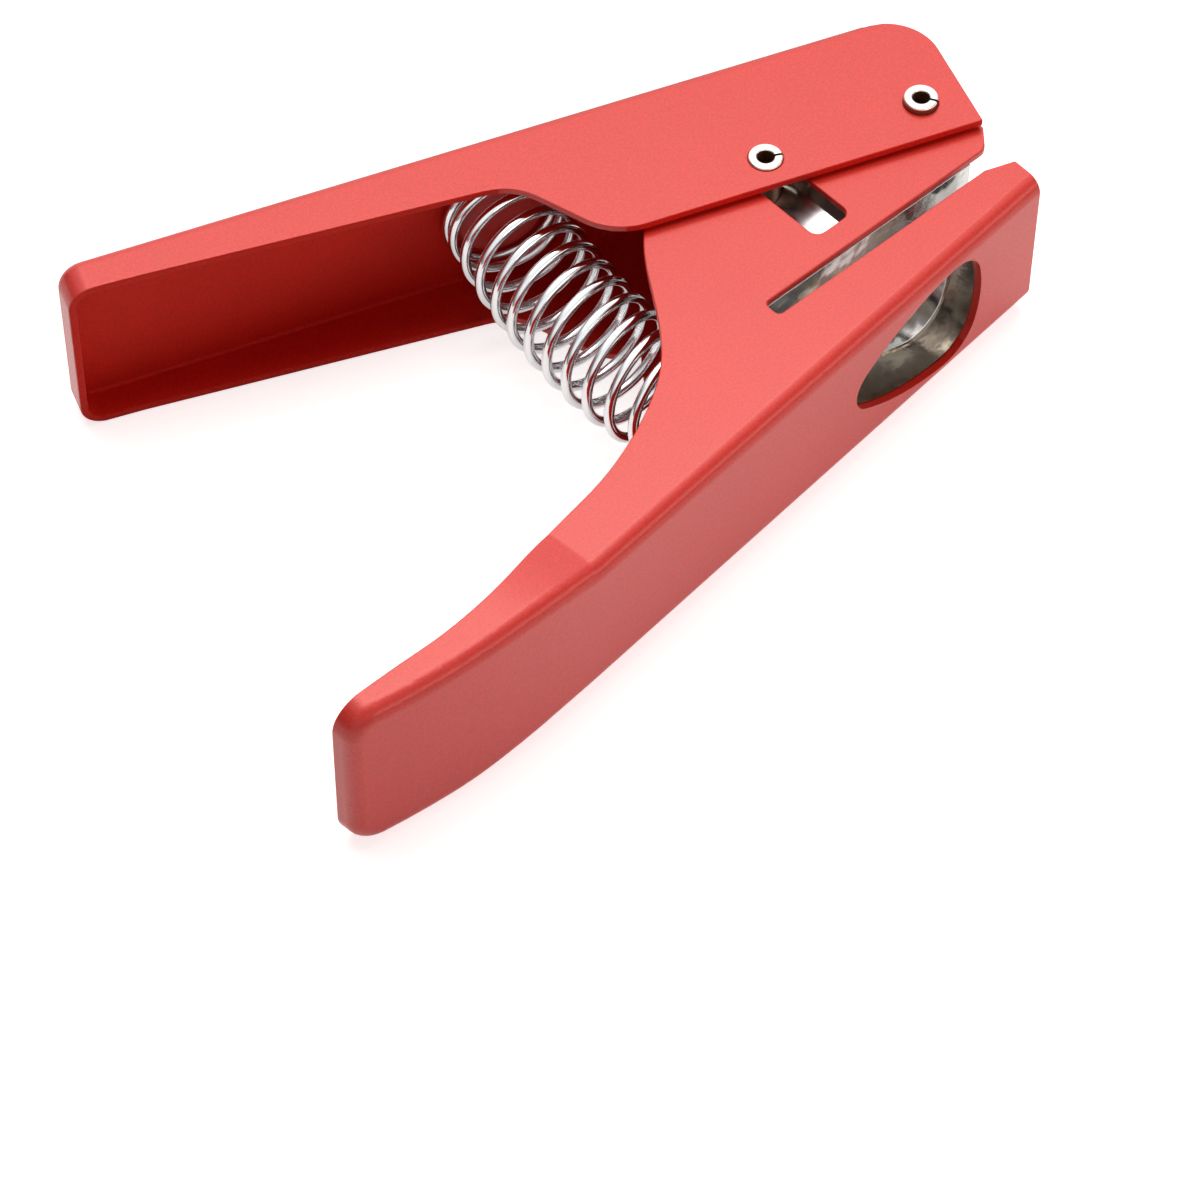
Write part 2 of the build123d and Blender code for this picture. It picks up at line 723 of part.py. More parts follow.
near_cheek = lever_half + body_half
far_cheek = lever_half - body_half
near_lever = lever_half + lever_inner_half
far_lever = lever_half - lever_inner_half
pivot_washer_near = ring(pivot_x, pivot_y, near_cheek, near_cheek + washer_thickness,
                         washer_diameter, pin_hole)
pivot_washer_near.label = "pivot_washer_near"
pivot_washer_far = ring(pivot_x, pivot_y, far_cheek - washer_thickness, far_cheek,
                        washer_diameter, pin_hole)
pivot_washer_far.label = "pivot_washer_far"
drive_washer_near = ring(drive_x, drive_y, near_lever - washer_thickness, near_lever,
                         washer_diameter, pin_hole)
drive_washer_near.label = "drive_washer_near"
drive_washer_far = ring(drive_x, drive_y, far_lever, far_lever + washer_thickness,
                        washer_diameter, pin_hole)
drive_washer_far.label = "drive_washer_far"

# Spring axis: an arc about the apex, where the planes of the two webs' inner faces meet
apex_reach = (web_start_y - sheet * (1 + cos(rake))) / sin(rake)
apex_x = web_start_x - sheet * sin(rake) + apex_reach * cos(rake)
apex = side.from_local_coords((apex_x, sheet, 0))
foot_reach = apex_x + spring_foot_back
head_reach = apex_reach + spring_head_setback
spring_length = (foot_reach + head_reach) / 2 * rake


def axis_point(share):
    """Point on the spring's axis, at a share of the angle between the two webs."""
    reach = foot_reach + (head_reach - foot_reach) * (1 - (1 - share) ** 2)
    return apex + Vector(-cos(rake * share), sin(rake * share), 0) * reach


foot_plane = Plane(origin=axis_point(0), x_dir=(1, 0, 0), z_dir=(0, 1, 0))
head_plane = Plane(origin=axis_point(1), x_dir=lever_side.x_dir, z_dir=lever_side.y_dir)


def spring_post(plane, coil_radius):
    """Round stud that fits inside an end coil."""
    with BuildPart() as post:
        with BuildSketch(plane):
            Circle(coil_radius - wire_diameter / 2 - post_clearance)
        extrude(amount=post_height)
        chamfer(post.faces().sort_by(Axis(plane.origin, plane.z_dir))[-1].edges(), post_chamfer)
    return post.part


lower_spring_post = spring_post(foot_plane, spring_foot_radius)
lower_spring_post.label = "lower_spring_post"
upper_spring_post = spring_post(head_plane, spring_head_radius)
upper_spring_post.label = "upper_spring_post"

# Main spring: one wire, closer wound at both ends and narrow at its foot
spring_turns = spring_quarter_turns / 4
seat_rise = wire_diameter / 2 + spring_seat_gap
free_rise = spring_length - 2 * seat_rise
closed_rise = spring_end_pitch * spring_closed_turns
ramp_end = spring_closed_turns + spring_ramp_turns
open_pitch = ((free_rise - 2 * closed_rise - spring_end_pitch * spring_ramp_turns)
              / (spring_turns - 2 * ramp_end + spring_ramp_turns))
pitch_gain = (open_pitch - spring_end_pitch) / spring_ramp_turns


def coil_rise(turns):
    """Rise of the wire's centre along the spring's axis after some turns."""
    if turns > spring_turns / 2:
        return free_rise - coil_rise(spring_turns - turns)
    ramp = min(max(turns - spring_closed_turns, 0), spring_ramp_turns)
    rest = max(turns - ramp_end, 0)
    return spring_end_pitch * turns + pitch_gain * (ramp ** 2 / 2 + spring_ramp_turns * rest)


def coil_point(turns):
    """Centre of the wire after some turns; the coils tip from web to web and lean between them."""
    rise = coil_rise(turns)
    share = (seat_rise + rise) / spring_length
    from_seat = min(turns, spring_turns - turns)
    lean = min(max(from_seat - spring_closed_turns, 0) / spring_leaning_turns, 1)
    tip = rake * share - radians(spring_coil_lean) * lean
    end_radius = spring_foot_radius if 2 * rise < free_rise else spring_head_radius
    swell = sin(pi * min(rise, free_rise - rise) / free_rise)
    radius = end_radius + (spring_belly_radius - end_radius) * swell
    angle = 2 * pi * turns + radians(spring_start_angle)
    across = Vector(cos(tip), -sin(tip), 0) * (radius * cos(angle))
    return axis_point(share) + across - Vector(0, 0, radius * sin(angle))


def coil_tangent(turns):
    """Direction of the wire after some turns."""
    before = coil_point(turns - spring_tangent_step)
    after = coil_point(turns + spring_tangent_step)
    return (after - before).normalized()


def biarc_middle(start, end, start_dir, end_dir):
    """Point where two arcs, tangent to both end directions, meet."""
    chord = end - start
    sum_dir = start_dir + end_dir
    slack = 2 * (1 - start_dir.dot(end_dir))
    pull = chord.dot(sum_dir)
    reach = (sqrt(pull ** 2 + slack * chord.dot(chord)) - pull) / slack
    return (start + start_dir * reach + end - end_dir * reach) / 2


with BuildPart() as main_spring:
    quarters = [quarter / 4 for quarter in range(spring_quarter_turns + 1)]
    points = [coil_point(turns) for turns in quarters]
    headings = [coil_tangent(turns) for turns in quarters]
    with BuildLine() as coil_wire:
        Line(points[0] - headings[0] * wire_diameter, points[0])
        for place in range(len(points) - 1):
            middle = biarc_middle(points[place], points[place + 1],
                                  headings[place], headings[place + 1])
            TangentArc(points[place], middle, tangent=headings[place])
            TangentArc(middle, points[place + 1], tangent=coil_wire.line.edges()[-1] % 1)
        Line(points[-1], points[-1] + headings[-1] * wire_diameter)
    with BuildSketch(Plane(origin=points[0] - headings[0] * wire_diameter, z_dir=headings[0])):
        Circle(wire_diameter / 2)
    sweep(path=coil_wire.wires()[0])
main_spring.part.label = "main_spring"

samples = [coil_point(step / spring_gap_samples)
           for step in range(spring_quarter_turns * spring_gap_samples // 4 + 1)]
gaps = [(samples[i] - samples[j]).length - wire_diameter
        for i in range(len(samples))
        for j in range(i + spring_gap_samples // 2, min(i + 2 * spring_gap_samples, len(samples)))]
print("least gap of the spring to itself, mm:", round(min(gaps), 3))
wire_volume = pi * (wire_diameter / 2) ** 2 * coil_wire.wires()[0].length
print("spring volume against section times length:", round(main_spring.part.volume / wire_volume, 4))
print("stroke of the punch, mm:", round(stroke, 3), " box:", round(body_tail_reach + box_front, 2),
      round(box_top, 2), round(lever_width + pivot_proud, 2))

os.makedirs("parts", exist_ok=True)
pieces = [
    body_frame.part, lever.part, die_block.part, die_plate.part, punch_guide.part,
    punch_carrier.part, punch_cutter.part, cutter_screws, clamp_screws,
    locating_dowels.part, die_screws.part, pivot_pin, drive_pin, pivot_sleeve,
    pivot_washer_near, pivot_washer_far, drive_washer_near, drive_washer_far,
    lower_spring_post, upper_spring_post, main_spring.part,
]
for piece in pieces:
    export_step(piece, f"parts/{piece.label}.step")
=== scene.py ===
"""Studio scene of a hand punch that cuts plectrums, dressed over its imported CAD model.

The frame holds the true parts. This script gives each of them its finish, rounds the cut edges
of the two pressed shells and the two ground plates, winds the spring as one smooth wire, rolls
the two spring pins and lights the tool on a pale table.
"""
import json
import logging
import math
from dataclasses import dataclass
from enum import Enum

import bmesh
import bpy
import numpy as np
from mathutils import Matrix, Vector

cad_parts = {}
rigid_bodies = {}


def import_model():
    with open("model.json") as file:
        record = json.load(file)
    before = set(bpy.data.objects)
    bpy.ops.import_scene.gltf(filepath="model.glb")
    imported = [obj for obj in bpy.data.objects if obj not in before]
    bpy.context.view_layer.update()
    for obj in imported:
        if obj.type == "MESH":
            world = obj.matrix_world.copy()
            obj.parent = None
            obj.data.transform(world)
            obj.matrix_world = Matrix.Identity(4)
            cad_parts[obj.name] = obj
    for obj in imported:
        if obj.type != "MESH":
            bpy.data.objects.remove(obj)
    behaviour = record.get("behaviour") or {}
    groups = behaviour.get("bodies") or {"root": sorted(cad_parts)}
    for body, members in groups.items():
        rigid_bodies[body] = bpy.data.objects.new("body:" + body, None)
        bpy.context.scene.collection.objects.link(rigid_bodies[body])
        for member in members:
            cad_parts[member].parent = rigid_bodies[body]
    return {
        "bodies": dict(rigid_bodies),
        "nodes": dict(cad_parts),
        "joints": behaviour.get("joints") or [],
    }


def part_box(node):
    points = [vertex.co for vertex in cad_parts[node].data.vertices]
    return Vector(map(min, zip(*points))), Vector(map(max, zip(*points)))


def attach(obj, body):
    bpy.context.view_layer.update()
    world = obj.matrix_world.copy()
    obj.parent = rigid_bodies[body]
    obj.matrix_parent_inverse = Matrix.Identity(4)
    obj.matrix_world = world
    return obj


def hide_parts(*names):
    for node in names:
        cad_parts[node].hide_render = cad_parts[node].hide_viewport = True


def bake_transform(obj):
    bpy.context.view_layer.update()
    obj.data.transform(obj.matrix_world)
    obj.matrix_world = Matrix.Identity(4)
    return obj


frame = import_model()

LOG = logging.getLogger("pick_punch")
MM = 0.001
WHITE = (1.0, 1.0, 1.0, 1.0)


def clear_startup_objects() -> None:
    """Removes what a new Blender file starts with, so that only the frame is left."""
    kept = set(frame["nodes"].values()) | set(frame["bodies"].values())
    for thing in list(bpy.data.objects):
        if thing not in kept:
            bpy.data.objects.remove(thing)


clear_startup_objects()
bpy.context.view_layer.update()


def linear(colour: str) -> tuple[float, float, float, float]:
    """Turns an sRGB hex colour to linear light.

    A dark channel is divided by 12.92. Any other has 0.055 added, is divided by 1.055 and is
    raised to the power 2.4, as the sRGB standard says.

    Args:
        colour: Six hex digits after a hash sign.

    Returns:
        Red, green, blue and an alpha of one.
    """
    channels = [int(colour[place:place + 2], 16) / 255 for place in (1, 3, 5)]
    light = [value / 12.92 if value <= 0.04045 else ((value + 0.055) / 1.055) ** 2.4
             for value in channels]
    return (light[0], light[1], light[2], 1.0)


def add_node(material: bpy.types.Material, kind: str, settings: dict | None = None,
             **inputs: object) -> bpy.types.Node:
    """Adds a shader node with its settings and links.

    Args:
        material: Material or world that owns the node tree.
        kind: Blender's name of the node type.
        settings: Attributes of the node, such as its data type.
        inputs: Value or output socket for each input; a blank in its name is an underscore,
            and in0, in1 and so on mean an input by its place.

    Returns:
        The new node.
    """
    tree = material.node_tree
    node = tree.nodes.new(kind)
    for name, value in (settings or {}).items():
        setattr(node, name, value)
    for name, value in inputs.items():
        by_place = name.startswith("in") and name[2:].isdigit()
        socket = node.inputs[int(name[2:]) if by_place else name.replace("_", " ")]
        if isinstance(value, bpy.types.NodeSocket):
            tree.links.new(value, socket)
        else:
            socket.default_value = value
    return node


def new_material(name: str) -> bpy.types.Material:
    """Makes a material whose node tree is still empty.

    Args:
        name: Name of the real finish.

    Returns:
        The new material.
    """
    material = bpy.data.materials.new(name)
    material.use_nodes = True
    material.node_tree.nodes.clear()
    return material


def finish_surface(material: bpy.types.Material, shader: bpy.types.Node) -> None:
    """Links a shader to the material's output."""
    add_node(material, "ShaderNodeOutputMaterial", Surface=shader.outputs[0])


class Lay(Enum):
    """Way that the fine lines of a ground or drawn surface run: the axis of the small scale."""

    ALONG_TRAVEL = (1.0, 0.04, 1.0)
    ALONG_SLOT = (0.04, 1.0, 1.0)
    ALONG_HINGE = (1.0, 1.0, 0.03)


@dataclass(frozen=True)
class SatinEnamel:
    """Red metallic baking enamel, sprayed on pressed steel: satin, with a fine grain.

    The droplets' grain is at its true size. The real flakes are about a tenth as wide as these,
    too fine to show in the render, so they are drawn as coarse as it needs.
    """

    name: str = "satin_red_enamel"
    colour: str = "#EC2E1F"
    shade: str = "#D4261A"
    metallic: float = 0.08
    roughness: float = 0.40
    specular: float = 0.5
    coat: float = 0.35
    coat_roughness: float = 0.20
    grain_mm: float = 0.45
    flake_mm: float = 0.22
    cloud_mm: float = 22.0
    grain_height_mm: float = 0.018
    grain_strength: float = 0.35
    grain_contrast: float = 2.2
    grain_offset: float = -0.85
    cloud_contrast: float = 0.5
    gloss_spread: float = 0.1

    def material(self) -> bpy.types.Material:
        """Sprayed droplets give a fine orange peel, and flakes give small bright grains.

        The main colour's share is the grain times its contrast, plus its offset, plus the
        clouds times theirs, held between zero and one. The rest is the shade.

        Returns:
            The enamel.
        """
        paint = new_material(self.name)
        place = add_node(paint, "ShaderNodeTexCoord").outputs["Object"]
        grain = add_node(paint, "ShaderNodeTexNoise", Vector=place, Detail=2.0,
                         Scale=1 / (self.grain_mm * MM))
        flakes = add_node(paint, "ShaderNodeTexVoronoi", Vector=place,
                          Scale=1 / (self.flake_mm * MM))
        clouds = add_node(paint, "ShaderNodeTexNoise", Vector=place, Detail=3.0,
                          Scale=1 / (self.cloud_mm * MM))
        tone = add_node(paint, "ShaderNodeMath", {"operation": "MULTIPLY_ADD"},
                        in0=grain.outputs["Fac"], in1=self.grain_contrast,
                        in2=self.grain_offset)
        drift = add_node(paint, "ShaderNodeMath", {"operation": "MULTIPLY_ADD", "use_clamp": True},
                         in0=clouds.outputs["Fac"], in1=self.cloud_contrast,
                         in2=tone.outputs[0])
        colour = add_node(paint, "ShaderNodeMix", {"data_type": "RGBA"}, in0=drift.outputs[0],
                          in6=linear(self.shade), in7=linear(self.colour))
        gloss = add_node(paint, "ShaderNodeMapRange", Value=flakes.outputs["Color"],
                         in3=self.roughness - self.gloss_spread,
                         in4=self.roughness + self.gloss_spread)
        bump = add_node(paint, "ShaderNodeBump", Height=grain.outputs["Fac"],
                        Strength=self.grain_strength, Distance=self.grain_height_mm * MM)
        shader = add_node(paint, "ShaderNodeBsdfPrincipled", Base_Color=colour.outputs[2],
                          Metallic=self.metallic, Roughness=gloss.outputs[0],
                          Specular_IOR_Level=self.specular, Normal=bump.outputs[0],
                          Coat_Weight=self.coat, Coat_Roughness=self.coat_roughness)
        finish_surface(paint, shader)
        return paint


@dataclass(frozen=True)
class PlatedWire:
    """Hard drawn spring wire with bright chrome plate: mirror bright, with faint draw marks.

    Real draw marks are a few hundredths of a millimetre wide, so these are drawn coarser.
    """

    colour: str = "#E4E6E8"
    roughness: float = 0.10
    mark_mm: float = 0.25
    mark_height_mm: float = 0.002
    mark_strength: float = 0.2
    mark_stretch: tuple[float, float, float] = (0.06, 1.0, 1.0)
    gloss_below: float = 0.04
    gloss_above: float = 0.05

    def material(self) -> bpy.types.Material:
        """Draw marks run along the wire, so they follow the piece's own UV map.

        Returns:
            The plated wire's finish.
        """
        chrome = new_material("chrome_plated_wire")
        place = add_node(chrome, "ShaderNodeUVMap", {"uv_map": WIRE_UV}).outputs[0]
        stretched = add_node(chrome, "ShaderNodeMapping", Vector=place, Scale=self.mark_stretch)
        marks = add_node(chrome, "ShaderNodeTexNoise", Vector=stretched.outputs[0], Detail=2.0,
                         Scale=1 / (self.mark_mm * MM))
        gloss = add_node(chrome, "ShaderNodeMapRange", Value=marks.outputs["Fac"],
                         in3=self.roughness - self.gloss_below,
                         in4=self.roughness + self.gloss_above)
        bump = add_node(chrome, "ShaderNodeBump", Height=marks.outputs["Fac"],
                        Strength=self.mark_strength, Distance=self.mark_height_mm * MM)
        shader = add_node(chrome, "ShaderNodeBsdfPrincipled", Base_Color=linear(self.colour),
                          Metallic=1.0, Roughness=gloss.outputs[0], Normal=bump.outputs[0])
        finish_surface(chrome, shader)
        return chrome


@dataclass(frozen=True)
class LinedSteel:
    """Bare or thinly finished steel with the parallel lines of grinding, milling or drawing.

    Real grinding lines are under a tenth of a millimetre apart, too fine to show in the render,
    so the lines are drawn as coarse as it needs.
    """

    name: str
    colour: str
    roughness: float
    lay: Lay
    line_mm: float = 0.3
    line_height_mm: float = 0.004
    gloss_spread: float = 0.08
    wave_mm: float = 6.0
    wave_height_mm: float = 0.02
    wave_strength: float = 1.0
    line_strength: float = 0.4
    dull_share: float = 0.82
    metallic: float = 1.0

    def material(self) -> bpy.types.Material:
        """A noise stretched along the lay gives the lines, an even one gives slow waves.

        Returns:
            The steel, a little duller in the waves' hollows.
        """
        steel = new_material(self.name)
        place = add_node(steel, "ShaderNodeTexCoord").outputs["Object"]
        stretched = add_node(steel, "ShaderNodeMapping", Vector=place, Scale=self.lay.value)
        lines = add_node(steel, "ShaderNodeTexNoise", Vector=stretched.outputs[0], Detail=3.0,
                         Scale=1 / (self.line_mm * MM))
        clouds = add_node(steel, "ShaderNodeTexNoise", Vector=place, Detail=2.0,
                          Scale=1 / (self.wave_mm * MM))
        gloss = add_node(steel, "ShaderNodeMapRange", Value=lines.outputs["Fac"],
                         in3=self.roughness - self.gloss_spread,
                         in4=self.roughness + self.gloss_spread)
        tint = linear(self.colour)
        dull = tuple(self.dull_share * value for value in tint[:3]) + (1.0,)
        colour = add_node(steel, "ShaderNodeMix", {"data_type": "RGBA"},
                          in0=clouds.outputs["Fac"], in6=dull, in7=tint)
        waves = add_node(steel, "ShaderNodeBump", Height=clouds.outputs["Fac"],
                         Strength=self.wave_strength, Distance=self.wave_height_mm * MM)
        bump = add_node(steel, "ShaderNodeBump", Height=lines.outputs["Fac"],
                        Strength=self.line_strength, Distance=self.line_height_mm * MM,
                        Normal=waves.outputs[0])
        shader = add_node(steel, "ShaderNodeBsdfPrincipled", Base_Color=colour.outputs[2],
                          Metallic=self.metallic, Roughness=gloss.outputs[0],
                          Normal=bump.outputs[0])
        finish_surface(steel, shader)
        return steel


WIRE_UV = "wire"
# Satin red with soft highlights and a faint sparkle, on all faces but the inner ones that get
# painted shade.
ENAMEL = SatinEnamel()
# The same enamel, matt and a bit darker as painted shade, on the faces inside the channels and the
# inward cut edges.
SHADED_INNER_ENAMEL = SatinEnamel("painted_shade_red_enamel", "#E62B1E", "#CE2518", roughness=0.55, specular=0.15,
                          coat=0.0)
# Mirror bright wire that shows the light screens and the dark red as narrow bands.
CHROME = PlatedWire()
# Surface ground plates, bright and streaky: grinding waves bend what they mirror.
GROUND_STEEL = LinedSteel("ground_tool_steel", "#DCDCDA", 0.13, Lay.ALONG_SLOT,
                          wave_mm=7.0, wave_height_mm=0.30)
# Milled steel under a film of oil: a warm grey mirror with broken bright patches.
BLOCK_STEEL = LinedSteel("oiled_milled_steel", "#A3988A", 0.20, Lay.ALONG_SLOT, line_mm=1.2,
                         line_height_mm=0.003, gloss_spread=0.04, wave_mm=4.0,
                         wave_height_mm=0.22)
# The punch is ground along its travel: light grey with soft streaks.
PUNCH_STEEL = LinedSteel("ground_punch_steel", "#CFD0D2", 0.20, Lay.ALONG_TRAVEL)
# Nickel plate gives the pins' ends, washers, sleeve and dowels a slightly yellow shine.
PIN_STEEL = LinedSteel("nickel_plated_pin_steel", "#E6E1D6", 0.16, Lay.ALONG_HINGE)
# Darker brown, half dull steel on the pins' bore and outer wall: painted shade.
PIN_WALL_SHADE_STEEL = LinedSteel("painted_shade_pin_wall_steel", "#8A6248", 0.35, Lay.ALONG_HINGE,
                          metallic=0.7)
# Black oxide makes the screws nearly black, with a low sheen.
BLACK_OXIDE = LinedSteel("black_oxide_screw_steel", "#26272A", 0.42, Lay.ALONG_TRAVEL)


@dataclass(frozen=True)
class ToolPlane:
    """The tool's own side plane: x towards the nose, y from the base web up to the lever."""

    pivot_x_mm: float = -0.5
    pivot_y_mm: float = 28.3

    def origin(self) -> np.ndarray:
        """Place of the plane's origin in the frame, in metres, worked out from the hinge."""
        hinge = np.array(frame["joints"][0]["pos_m"])
        return hinge - np.array([self.pivot_x_mm, self.pivot_y_mm, 0.0]) * MM

    def place(self, points_mm: np.ndarray) -> np.ndarray:
        """Turns points on the side plane, in millimetres, to frame metres."""
        return self.origin() + points_mm * MM


TOOL = ToolPlane()


def make_piece(name: str, mesh: bpy.types.Mesh, material: bpy.types.Material) -> bpy.types.Object:
    """Links a finished mesh to the scene as a piece.

    Args:
        name: Name of the piece.
        mesh: Its mesh, in frame metres.
        material: Its finish.

    Returns:
        The new object, at the origin.
    """
    piece = bpy.data.objects.new(name, mesh)
    bpy.context.scene.collection.objects.link(piece)
    mesh.materials.clear()
    mesh.materials.append(material)
    return piece


def grid_faces(rows: int, columns: int) -> np.ndarray:
    """Corner numbers of the quads of a grid whose columns close on themselves.

    A quad joins a point to the next one of its row and to the two above them.

    Args:
        rows: Number of rings.
        columns: Number of points on a ring.

    Returns:
        Four corner numbers for each quad, row by row.
    """
    row, column = np.meshgrid(np.arange(rows - 1), np.arange(columns), indexing="ij")
    after = (column + 1) % columns
    corners = (row * columns + column, row * columns + after,
               (row + 1) * columns + after, (row + 1) * columns + column)
    return np.stack(corners, axis=-1).reshape(-1, 4)


def tube_mesh(name: str, rings: np.ndarray) -> bpy.types.Mesh:
    """Skins rings of points into a closed tube with flat ends.

    Args:
        name: Name of the mesh.
        rings: Points, as ring by point by coordinate, in metres.

    Returns:
        Mesh whose faces point outwards when each ring turns right-handed about the path.
    """
    count, around, _ = rings.shape
    faces = grid_faces(count, around).tolist()
    faces.append(list(range(around - 1, -1, -1)))
    faces.append(list(range((count - 1) * around, count * around)))
    mesh = bpy.data.meshes.new(name)
    mesh.from_pydata(rings.reshape(-1, 3).tolist(), [], faces)
    mesh.polygons.foreach_set("use_smooth", [True] * (len(faces) - 2) + [False] * 2)
    mesh.update()
    return mesh


@dataclass
class ReturnSpring:
    """Compression spring between the two webs, wound as one plated wire.

    Its axis is an arc about the apex, the line where the planes of the two webs meet. The
    coils tip from one web to the other, lean a little on the way and narrow at the foot.
    """

    apex_x_mm: float = 105.1946
    sheet_mm: float = 1.5
    rake_deg: float = 25.6
    foot_reach_mm: float = 179.1946
    head_reach_mm: float = 184.1987
    wire_mm: float = 2.0
    foot_radius_mm: float = 6.5
    belly_radius_mm: float = 11.0
    head_radius_mm: float = 10.7
    coil_lean_deg: float = 7.3
    turns: float = 16.25
    closed_turns: int = 1
    ramp_turns: int = 1
    leaning_turns: int = 3
    end_pitch_mm: float = 2.6
    seat_gap_mm: float = 0.1
    start_deg: float = 200.0
    steps: int = 72
    sides: int = 20
    end_chamfer_mm: float = 0.2

    def axis(self, share: np.ndarray) -> np.ndarray:
        """Axis points: their reach from the apex grows by a parabola, their angle evenly.

        The angle is the rake times the share. The reach is the foot's, plus the gain to the
        head's times one less the square of the share that is left.

        Args:
            share: Shares of the way from foot to head.

        Returns:
            Points on the tool's side plane, in millimetres.
        """
        gain = self.head_reach_mm - self.foot_reach_mm
        reach = self.foot_reach_mm + gain * (1 - (1 - share) ** 2)
        angle = math.radians(self.rake_deg) * share
        return np.stack([self.apex_x_mm - reach * np.cos(angle),
                         self.sheet_mm + reach * np.sin(angle), 0 * share], axis=-1)

    def rise(self, turns: np.ndarray, free: float) -> np.ndarray:
        """Rise after some turns: the closed pitch, a linear ramp, then the open pitch.

        Args:
            turns: Turns from the foot.
            free: Rise of the whole wire's centre, in millimetres.

        Returns:
            Rise of the wire's centre above its start, the same from both ends.
        """
        from_end = np.minimum(turns, self.turns - turns)
        ramp_end = self.closed_turns + self.ramp_turns
        open_pitch = ((free - 2 * self.end_pitch_mm * self.closed_turns
                       - self.end_pitch_mm * self.ramp_turns)
                      / (self.turns - 2 * ramp_end + self.ramp_turns))
        gain = (open_pitch - self.end_pitch_mm) / self.ramp_turns
        ramp = np.clip(from_end - self.closed_turns, 0, self.ramp_turns)
        rest = np.maximum(from_end - ramp_end, 0)
        low = self.end_pitch_mm * from_end + gain * (ramp ** 2 / 2 + self.ramp_turns * rest)
        return np.where(2 * turns > self.turns, free - low, low)

    def centre_line(self) -> tuple[np.ndarray, np.ndarray]:
        """Wire's centre line and the axis points beside it.

        A point is its axis point, plus the coil's radius times the cosine of its turn across
        the axis, less the radius times the sine along the hinge. The radius swells by a sine
        from each end to the middle. The way across tips by the rake's share less the lean.

        Returns:
            Points of the wire and of the axis, in millimetres on the tool's side plane.
        """
        rake = math.radians(self.rake_deg)
        length = (self.foot_reach_mm + self.head_reach_mm) / 2 * rake
        seat = self.wire_mm / 2 + self.seat_gap_mm
        free = length - 2 * seat
        turns = np.linspace(0, self.turns, round(self.turns * self.steps) + 1)
        rise = self.rise(turns, free)
        share = (seat + rise) / length
        from_seat = np.minimum(turns, self.turns - turns)
        lean = np.clip((from_seat - self.closed_turns) / self.leaning_turns, 0, 1)
        tip = rake * share - math.radians(self.coil_lean_deg) * lean
        end_radius = np.where(2 * rise < free, self.foot_radius_mm, self.head_radius_mm)
        swell = np.sin(np.pi * np.minimum(rise, free - rise) / free)
        radius = end_radius + (self.belly_radius_mm - end_radius) * swell
        angle = 2 * np.pi * turns + math.radians(self.start_deg)
        across = radius * np.cos(angle)
        offset = np.stack([across * np.cos(tip), -across * np.sin(tip),
                           -radius * np.sin(angle)], axis=-1)
        centre = self.axis(share)
        return centre + offset, centre

    def rings(self) -> np.ndarray:
        """Circles square to the centre line, with straight tails and chamfered cut ends.

        A ring is the centre point plus the wire's radius times cosine and sine of the angle
        around, on the two directions square to the wire.

        Returns:
            Rings of points in frame metres, as ring by point by coordinate.
        """
        line, centre = self.centre_line()
        heading = np.gradient(line, axis=0)
        heading /= np.linalg.norm(heading, axis=1, keepdims=True)
        outward = line - centre
        outward -= np.sum(outward * heading, axis=1, keepdims=True) * heading
        outward /= np.linalg.norm(outward, axis=1, keepdims=True)
        inner_end = self.wire_mm - self.end_chamfer_mm
        back = np.array([self.wire_mm, inner_end])[:, None]
        tails = (line[0] - heading[0] * back, line[-1] + heading[-1] * back[::-1])
        line = np.concatenate([tails[0], line, tails[1]])
        heading = np.concatenate([heading[:1], heading[:1], heading, heading[-1:], heading[-1:]])
        outward = np.concatenate([outward[:1], outward[:1], outward, outward[-1:], outward[-1:]])
        sideways = np.cross(heading, outward)
        radius = np.full(len(line), self.wire_mm / 2)
        radius[[0, -1]] -= self.end_chamfer_mm
        around = 2 * np.pi * np.arange(self.sides) / self.sides
        circle = (np.cos(around)[None, :, None] * outward[:, None, :]
                  + np.sin(around)[None, :, None] * sideways[:, None, :])
        return TOOL.place(line[:, None, :] + radius[:, None, None] * circle)

    def build(self) -> bpy.types.Object:
        """Skins the wire, which arcs between the shells, and gives it a UV map in metres.

        Returns:
            The spring, which stands for the CAD's one.
        """
        rings = self.rings()
        mesh = tube_mesh("return_spring", rings)
        run = np.linalg.norm(np.diff(rings.mean(axis=1), axis=0), axis=1)
        along = np.concatenate([[0.0], np.cumsum(run)])
        corners = np.empty(len(mesh.loops), dtype=np.int64)
        mesh.loops.foreach_get("vertex_index", corners)
        ring, side = np.divmod(corners, self.sides)
        chart = np.stack([along[ring], side * math.pi * self.wire_mm * MM / self.sides], axis=-1)
        layer = mesh.uv_layers.new(name=WIRE_UV)
        layer.data.foreach_set("uv", chart.ravel())
        piece = make_piece("return_spring", mesh, CHROME.material())
        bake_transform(piece)
        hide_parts("main_spring")
        return piece


